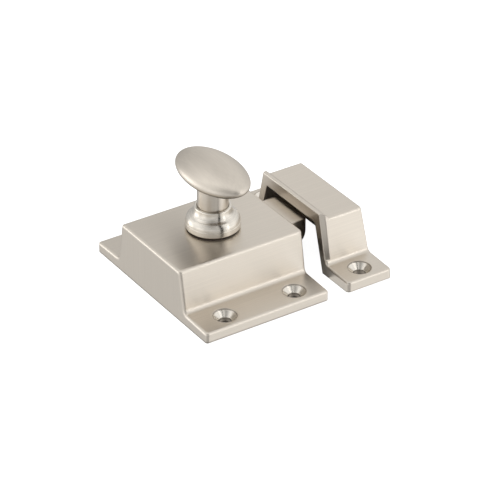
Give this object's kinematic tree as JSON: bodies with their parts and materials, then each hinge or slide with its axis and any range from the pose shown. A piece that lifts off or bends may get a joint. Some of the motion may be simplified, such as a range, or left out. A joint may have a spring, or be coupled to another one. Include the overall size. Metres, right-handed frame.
{
  "type": "cupboard catch",
  "caption": "Surface-mounted cupboard catch: a flanged case with an oval turn knob and a sprung bolt, and an arched keeper with a raised lip that the bolt enters.",
  "frame": {"origin": "on the mounting plane, at the centre of the case's screw pattern, which is also the knob's axis", "axes": "+X from the case to the keeper, the way the bolt comes out; +Z out of the door, along the knob; +Y across the flanges"},
  "size_m": [0.0516, 0.048, 0.0312],
  "materials": {
    "satin_nickel": "satin nickel plating over cast zinc, fine brush lines",
    "polished_nickel": "bright nickel plating",
    "steel": "turned and stamped steel, plain",
    "spring_wire": "drawn spring wire",
    "zinc_plate": "zinc-plated sheet",
    "dark_fibre": "dark fibre washer"
  },
  "bodies": {
    "root": {"case": "satin_nickel", "keeper": "satin_nickel", "rose": "polished_nickel", "rose_washer": "dark_fibre", "back_plate": "zinc_plate", "plate_screw_1": "steel", "plate_screw_2": "steel", "plate_screw_3": "steel", "plate_screw_4": "steel"},
    "knob_unit": {"knob": "satin_nickel", "spindle": "steel", "cam": "steel", "end_washer": "steel", "cam_screw": "steel"},
    "bolt_unit": {"bolt": "satin_nickel", "bolt_spring": "spring_wire"}
  },
  "joints": [
    {"name": "knob_turn", "type": "hinge", "parent": "root", "child": "knob_unit", "pos_m": [0, 0, 0], "axis": [0, 0, 1], "range_deg": [0, 90]},
    {"name": "bolt_slide", "type": "slide", "parent": "root", "child": "bolt_unit", "axis": [1, 0, 0], "range_m": [-0.0055, 0], "stiffness_N_per_m": 250, "springref_m": 0.004, "deforming": ["bolt_spring"]}
  ],
  "couplings": [
    {"joint": "knob_turn", "follows": "bolt_slide", "rad_per_m": -285.6}
  ]
}
